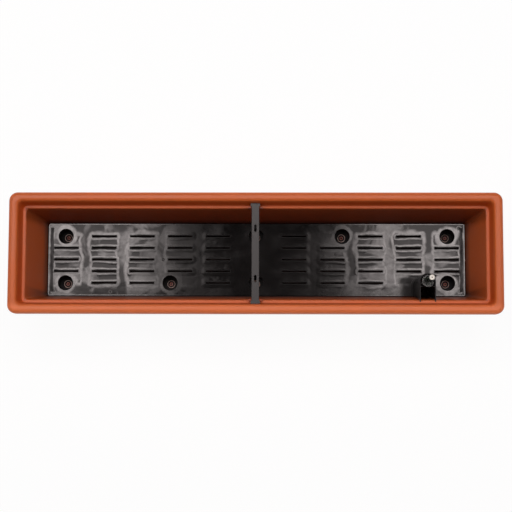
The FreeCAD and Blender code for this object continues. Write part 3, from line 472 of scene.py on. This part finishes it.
def make_slot_group():
    """Distances on the false floor from its nearest slot, block of slots and well."""
    group = new_group(
        "false_floor_plan", (("Place", "NodeSocketVector", None),),
        (("Slot", "NodeSocketFloat"), ("Block", "NodeSocketFloat"), ("Well", "NodeSocketFloat")))
    entry = group.nodes.new("NodeGroupInput").outputs
    leave = group.nodes.new("NodeGroupOutput").inputs
    axes = add(group, "SeparateXYZ", Vector=entry["Place"]).outputs
    x, y = axes["X"], axes["Y"]
    off_x = maths(group, "ABSOLUTE", x)
    off_y = maths(group, "ABSOLUTE", y)

    def from_nearest(off, pitch, first, last, half):
        """Distance outside the half size of the nearest of the items on a row."""
        index = maths(group, "ROUND", maths(group, "DIVIDE", off, pitch))
        index = maths(group, "MINIMUM", maths(group, "MAXIMUM", index, first), last)
        away = maths(group, "SUBTRACT", off, maths(group, "MULTIPLY", index, pitch))
        outside = maths(group, "SUBTRACT", maths(group, "ABSOLUTE", away), half)
        return maths(group, "MAXIMUM", outside, 0.0)

    along = from_nearest(off_x, COLUMN_PITCH, 1, 5, SLOT_HALF_LENGTH)
    across = from_nearest(off_y, ROW_PITCH, 0, 2, SLOT_HALF_WIDTH)
    beyond = maths(group, "MAXIMUM", maths(group, "SUBTRACT", off_y, BLOCK_HALF_WIDTH), 0.0)
    # The outer rows have no slot where a well or the filling shaft stands
    outer = within(group, off_y, *OUTER_ROWS)
    at_ends = within(group, off_x, *END_COLUMN)
    at_single = within(group, off_x, *SINGLE_WELL_COLUMN)
    same_side = maths(group, "GREATER_THAN", product(group, x, y), 0.0)
    at_shaft = product(group, within(group, x, *SHAFT_COLUMN),
                       maths(group, "LESS_THAN", y, 0.0))
    missing = maths(group, "MAXIMUM", at_ends, product(group, at_single, same_side))
    missing = product(group, maths(group, "MAXIMUM", missing, at_shaft), outer)
    slot = distance(group, along, across)
    slot = maths(group, "MULTIPLY_ADD", missing, FAR_FROM_A_SLOT, slot)
    group.links.new(slot, leave["Slot"])
    group.links.new(distance(group, along, beyond), leave["Block"])
    nearest = None
    for well_x, well_y in WELLS:
        gap = distance(group, maths(group, "SUBTRACT", x, well_x),
                       maths(group, "SUBTRACT", y, well_y))
        nearest = gap if nearest is None else maths(group, "MINIMUM", nearest, gap)
    group.links.new(maths(group, "SUBTRACT", nearest, WELL_RADIUS), leave["Well"])
    return group


def plan_of(tree, group, place):
    node = tree.nodes.new("ShaderNodeGroup")
    node.node_tree = group
    tree.links.new(place, node.inputs["Place"])
    return node.outputs


def warped(tree, place, scale, amount):
    """A place moved about by a noise, for outlines that wander."""
    field = add(tree, "TexNoise", Vector=place, Scale=scale, Detail=2.0).outputs["Color"]
    centred = add(tree, "VectorMath", {"operation": "SUBTRACT"})
    tree.links.new(field, centred.inputs[0])
    centred.inputs[1].default_value = (0.5, 0.5, 0.5)
    moved = add(tree, "VectorMath", {"operation": "MULTIPLY_ADD"})
    tree.links.new(centred.outputs[0], moved.inputs[0])
    moved.inputs[1].default_value = (amount, amount, 0.0)
    tree.links.new(place, moved.inputs[2])
    return moved.outputs[0]


def small_marks(tree, off_x, off_y):
    """Bright rings round the corner dimples and edge lugs, and a line at the panel's edge."""
    marks = [eased(tree, off_x, *PANEL_END), eased(tree, off_y, *PANEL_SIDE)]
    for x, y, radius, brightness in MARK_RINGS:
        gap = distance(tree, maths(tree, "SUBTRACT", off_x, x),
                       maths(tree, "SUBTRACT", off_y, y))
        line = within(tree, gap, radius - MARK_RING_HALF_WIDTH, radius + MARK_RING_HALF_WIDTH)
        marks.append(product(tree, line, brightness))
    return greatest(tree, *marks)


def film_cover(tree, place, wavy, looped, marks):
    """How the wet film lies: in loops round blocks, slots and wells, in clouds, in streaks."""
    block_edge = product(tree, *(eased(tree, wavy["Block"], *step) for step in BLOCK_LOOP))
    slot_edge = product(tree, *(eased(tree, looped["Slot"], *step) for step in SLOT_LOOP))
    well_edge = eased(tree, wavy["Well"], *WELL_LOOP)
    cloud = eased(tree, noise(tree, place, 15.0, detail=3.0, distortion=1.4), *CLOUD)
    film = greatest(tree, product(tree, block_edge, BLOCK_LOOP_COVER), well_edge, slot_edge,
                    product(tree, cloud, CLOUD_COVER), marks)
    streaks = noise(tree, place, 55.0, detail=4.0, distortion=2.0)
    return product(tree, film, maths(tree, "MULTIPLY_ADD", streaks, STREAK_SPAN, STREAK_LEAST))


def dull_places_and_shaft_reflection(tree, place, x, y, off_x, off_y):
    """1 in the end channels, on the gates' rings and beside the filling shaft, else 0. Beside
    the shaft it is a painted dark reflection of the shaft.
    """
    inner_side = maths(tree, "MULTIPLY_ADD", noise(tree, place, 60.0), CHANNEL_WANDER,
                       CHANNEL_INNER)
    channel = product(tree, maths(tree, "GREATER_THAN", off_x, inner_side),
                      maths(tree, "LESS_THAN", off_x, CHANNEL_OUTER),
                      maths(tree, "LESS_THAN", off_y, CHANNEL_HALF_WIDTH))
    gate = distance(tree, maths(tree, "SUBTRACT", off_x, GATE_X), off_y)
    gate = within(tree, gate, *GATE_RING)
    # Painted dark reflection of the filling shaft: less gloss beside it
    painted_shaft_reflection = product(tree, eased(tree, x, *BESIDE_SHAFT_RISE),
                           eased(tree, y, *BESIDE_SHAFT_BACK),
                           eased(tree, x, *BESIDE_SHAFT_FALL))
    return greatest(tree, channel, gate, painted_shaft_reflection)


def make_black_gloss(group):
    """Glossy black plastic under a wet film that gathers round its slots and wells."""
    material, tree, shader = new_material("black_gloss_plastic")
    place = object_place(tree)
    surface = moulded(tree, group, place,
                      cloud_size=18.0, grain_size=1200.0, cloudiness=0.5)
    shader.inputs["Specular IOR Level"].default_value = 0.19
    shader.inputs["Coat IOR"].default_value = 2.0
    shader.inputs["Coat Roughness"].default_value = 0.13
    axes = add(tree, "SeparateXYZ", Vector=place).outputs
    off_x = maths(tree, "ABSOLUTE", axes["X"])
    off_y = maths(tree, "ABSOLUTE", axes["Y"])
    plan = make_slot_group()
    exact = plan_of(tree, plan, place)
    wavy = plan_of(tree, plan, warped(tree, place, 32.0, BLOCK_WANDER))
    looped = plan_of(tree, plan, warped(tree, place, 50.0, SLOT_WANDER))

    # The film, thin towards the middle and gone in wells, slots, the dulled places and the
    # painted dark reflection beside the filling shaft
    film = film_cover(tree, place, wavy, looped, small_marks(tree, off_x, off_y))
    coat = maths(tree, "MULTIPLY_ADD", film, COAT_SPAN, COAT_LEAST)
    drifted = warped(tree, place, 14.0, SIDES_WANDER)
    drifted_x = add(tree, "SeparateXYZ", Vector=drifted).outputs["X"]
    sides = eased(tree, maths(tree, "ABSOLUTE", drifted_x), *SIDES)
    near_slot = eased(tree, exact["Slot"], *SLOT_LIP)
    above_wells = eased(tree, axes["Z"], *ABOVE_WELLS)
    dull_and_shaded = dull_places_and_shaft_reflection(tree, place, axes["X"], axes["Y"], off_x, off_y)
    wet = product(tree, near_slot, above_wells, maths(tree, "MULTIPLY_ADD", dull_and_shaded, DULLING, 1.0))
    tree.links.new(product(tree, coat, sides, wet), shader.inputs["Coat Weight"])
    roughness = maths(tree, "MULTIPLY_ADD", wet, WET_SMOOTHING, DRY_ROUGHNESS)
    grain = finish_surface(tree, shader, surface, GLOSS_BLACK, roughness, 0.002 * MM)

    # Slow waves, small waves, and the banks that the slots sit on
    broad = noise(tree, place, 12.0, detail=1.0, distortion=0.5)
    broad = maths(tree, "MULTIPLY", broad, BROAD_WAVE)
    small = maths(tree, "MULTIPLY", noise(tree, place, 70.0, detail=2.5), SMALL_WAVE)
    banked = eased(tree, looped["Slot"], *SLOT_BANK)
    height = maths(tree, "ADD", maths(tree, "ADD", banked, broad), small)
    waves = add(tree, "Bump", Strength=1.0, Distance=1.0, Height=height)
    tree.links.new(grain.outputs["Normal"], waves.inputs["Normal"])
    tree.links.new(waves.outputs["Normal"], shader.inputs["Normal"])
    return material


def make_black_satin(group):
    """The shaft's and plug's black plastic, less glossy and nearly flat."""
    material, tree, shader = new_material("black_satin_plastic")
    surface = moulded(tree, group, object_place(tree),
                      cloud_size=25.0, grain_size=1500.0, cloudiness=0.5)
    finish_surface(tree, shader, surface, SATIN_BLACK, roughness=0.3, grain=0.006 * MM)
    shader.inputs["Specular IOR Level"].default_value = 0.20
    return material


def make_dark_grey(group):
    """The brace's dark grey satin plastic."""
    material, tree, shader = new_material("dark_grey_plastic")
    surface = moulded(tree, group, object_place(tree),
                      cloud_size=30.0, grain_size=1500.0, cloudiness=0.3)
    finish_surface(tree, shader, surface, DARK_GREY, roughness=0.42, grain=0.012 * MM)
    return material


def make_clear(group):
    """Clear moulded plastic with a green cast and slight unevenness."""
    material, tree, shader = new_material("clear_plastic")
    surface = moulded(tree, group, object_place(tree),
                      cloud_size=60.0, grain_size=900.0, cloudiness=0.05)
    finish_surface(tree, shader, surface, CLEAR_GREEN, roughness=0.20, grain=0.0005 * MM)
    shader.inputs["Transmission Weight"].default_value = 1.0
    shader.inputs["IOR"].default_value = 1.45
    return material


def make_float_green(group):
    """The float's dark green plastic."""
    material, tree, shader = new_material("float_plastic")
    surface = moulded(tree, group, object_place(tree),
                      cloud_size=60.0, grain_size=1500.0, cloudiness=0.3)
    finish_surface(tree, shader, surface, FLOAT_GREEN, roughness=0.4, grain=0.01 * MM)
    return material


def make_nozzle(group, name, colour):
    """The rings in the wells' bottoms, in painted light: a painted highlight on the outer ring,
    and the lit terracotta floor's reddish light below the hole painted on the inner ring.
    """
    material, tree, shader = new_material(name)
    surface = moulded(tree, group, object_place(tree),
                      cloud_size=200.0, grain_size=2500.0, cloudiness=0.6)
    finish_surface(tree, shader, surface, colour, roughness=0.3, grain=0.01 * MM)
    shader.inputs["Specular IOR Level"].default_value = 1.0
    return material


def make_white(group):
    """The off-white plastic of the button and the indicator rod."""
    material, tree, shader = new_material("white_plastic")
    surface = moulded(tree, group, object_place(tree),
                      cloud_size=60.0, grain_size=1500.0, cloudiness=0.06)
    finish_surface(tree, shader, surface, OFF_WHITE, roughness=0.35, grain=0.006 * MM)
    return material


# ------------------------------------------------------------ stage, light and camera

def make_floor():
    """A pale floor that a camera sees as nearly white, with the object's shadow kept."""
    bpy.ops.object.select_all(action="DESELECT")
    bpy.ops.mesh.primitive_plane_add(size=16.0, location=(0, 0, 0))
    floor = bpy.context.object
    floor.name = "floor"
    material = bpy.data.materials.new("pale_floor")
    material.use_nodes = True
    tree = material.node_tree
    tree.nodes.clear()
    place = object_place(tree)
    faint = maths(tree, "MULTIPLY_ADD", noise(tree, place, 3.0), 0.02, 0.84)
    colour = add(tree, "CombineColor", Red=faint, Green=faint, Blue=faint)
    matte = add(tree, "BsdfDiffuse", Color=colour.outputs["Color"])
    white = add(tree, "Emission", Color=(1, 1, 1, 1), Strength=1.02)
    rays = tree.nodes.new("ShaderNodeLightPath").outputs
    seen = maths(tree, "MAXIMUM", rays["Is Camera Ray"], rays["Is Glossy Ray"])
    seen = maths(tree, "MAXIMUM", seen, rays["Is Transmission Ray"])
    share = maths(tree, "MULTIPLY", seen, 0.92)
    mixed = tree.nodes.new("ShaderNodeMixShader")
    tree.links.new(share, mixed.inputs[0])
    tree.links.new(matte.outputs[0], mixed.inputs[1])
    tree.links.new(white.outputs[0], mixed.inputs[2])
    output = tree.nodes.new("ShaderNodeOutputMaterial")
    tree.links.new(mixed.outputs[0], output.inputs["Surface"])
    floor.data.materials.append(material)


def make_world():
    """Light at the horizon and dim overhead, so that gloss seen from above stays dark.

    A camera sees it as plain white."""
    world = bpy.data.worlds.new("studio")
    bpy.context.scene.world = world
    world.use_nodes = True
    tree = world.node_tree
    background = tree.nodes["Background"]
    direction = tree.nodes.new("ShaderNodeTexCoord").outputs["Generated"]
    height = add(tree, "SeparateXYZ", Vector=direction).outputs["Z"]
    seen = tree.nodes.new("ShaderNodeLightPath").outputs["Is Camera Ray"]
    strength = maths(tree, "MAXIMUM", eased(tree, height, *WORLD_STEP), seen)
    tree.links.new(strength, background.inputs["Strength"])
    background.inputs["Color"].default_value = (1.0, 1.0, 1.0, 1.0)


def softbox(name, place, length, width, level):
    """A rectangular lamp of a given brightness that faces down, or inwards if far out."""
    lamp = bpy.data.lights.new(name, "AREA")
    lamp.shape = "RECTANGLE"
    lamp.size = length
    lamp.size_y = width
    lamp.energy = level * math.pi * length * width
    lamp.color = LAMPLIGHT
    piece = bpy.data.objects.new(name, lamp)
    bpy.context.scene.collection.objects.link(piece)
    piece.location = place
    if abs(place[0]) > FAR_OUT:
        inwards = AIM - Vector(place)
        piece.rotation_euler = inwards.to_track_quat("-Z", "Y").to_euler()
    piece.visible_camera = False


def make_lamps():
    """Softboxes left and right whose edges fade inwards, a wing at each side, two overhead."""
    for side, name in ((-1, "left"), (1, "right")):
        for step, (inner, outer, level) in enumerate(SIDE_BOXES, start=1):
            softbox(f"softbox_{name}_{step}",
                    (side * (inner + outer) / 2, SIDE_BOX_Y, SIDE_BOX_HEIGHT),
                    outer - inner, SIDE_BOX_WIDTH, level)
        softbox(f"wing_{name}", (side * 1.35, 0.05, 1.7), length=0.6, width=1.0, level=3.0)
    softbox("softbox_behind", (0.0, 0.80, 2.0), length=1.8, width=0.45, level=5.4)
    softbox("softbox_front", (0.0, -0.50, 2.3), length=1.8, width=0.45, level=0.8)


def make_camera():
    data = bpy.data.cameras.new("camera")
    data.sensor_width = SENSOR
    data.lens = FOCAL_PIXELS * SENSOR / FRAME_PIXELS
    data.clip_end = 50
    camera = bpy.data.objects.new("camera", data)
    bpy.context.scene.collection.objects.link(camera)
    back = CAMERA_RIGHT.cross(CAMERA_UP)
    turned = Matrix((CAMERA_RIGHT, CAMERA_UP, back)).transposed()
    camera.matrix_world = Matrix.Translation(CAMERA_PLACE) @ turned.to_4x4()
    bpy.context.scene.camera = camera


# ------------------------------------------------------------ the scene

def make_window_top(piece, white, dark):
    """The window's top: a white button with a dark disc in its middle, a painted shade for the
    small hole there.
    """
    piece.data.materials.append(white)
    piece.data.materials.append(dark)
    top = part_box("gauge_tube")[1][2]
    for face in piece.data.polygons:
        off = (face.center.xy - GAUGE_WINDOW).length
        if face.center.z > top - BUTTON_DEPTH and off < BUTTON_RADIUS:
            # The dark middle is a painted shade for the hole
            face.material_index = 2 if off < BUTTON_HOLE_SHADE_RADIUS else 1


def main():
    moulding = make_moulding_group()
    trough = smooth_shell("trough", "trough_shell")
    trough.data.materials.append(make_terracotta(moulding))
    gloss = make_black_gloss(moulding)
    satin = make_black_satin(moulding)
    clear = make_clear(moulding)
    white = make_white(moulding)
    for node, name, edge, material in (
            ("false_floor", "false_floor_panel", PANEL_ROUNDING, gloss),
            ("cross_brace", "brace_bar", BRACE_ROUNDING, make_dark_grey(moulding)),
            ("filling_shaft", "shaft_channel", SHAFT_ROUNDING, satin)):
        smooth_shell(node, name, edge=edge).data.materials.append(material)
    gauge = smooth_shell("gauge_tube", "gauge_window")
    gauge.data.materials.append(clear)
    make_window_top(gauge, white, satin)
    ring_highlight = make_nozzle(moulding, "ring_highlight_plastic", RING_HIGHLIGHT_COLOUR)
    painted_shading = make_nozzle(moulding, "ring_floor_light_plastic", RING_FLOOR_LIGHT_COLOUR)
    for index, (x, y) in enumerate(WELLS, start=1):
        place = (x, y, WELL_BOTTOM + NOZZLE_RAISE)
        rings = [ring("outer", "insert", place, *NOZZLE_OUTER, ring_highlight),
                 ring("inner", "insert", place, *NOZZLE_INNER, painted_shading)]
        joined(rings, f"well_nozzle_{index}")
    dress("drain_plug", satin)
    dress("gauge_foot", clear)
    dress("gauge_float", make_float_green(moulding))
    dress("float_rod", white)
    make_floor()
    make_world()
    make_lamps()
    make_camera()
    bpy.context.scene.view_settings.view_transform = "Standard"


main()
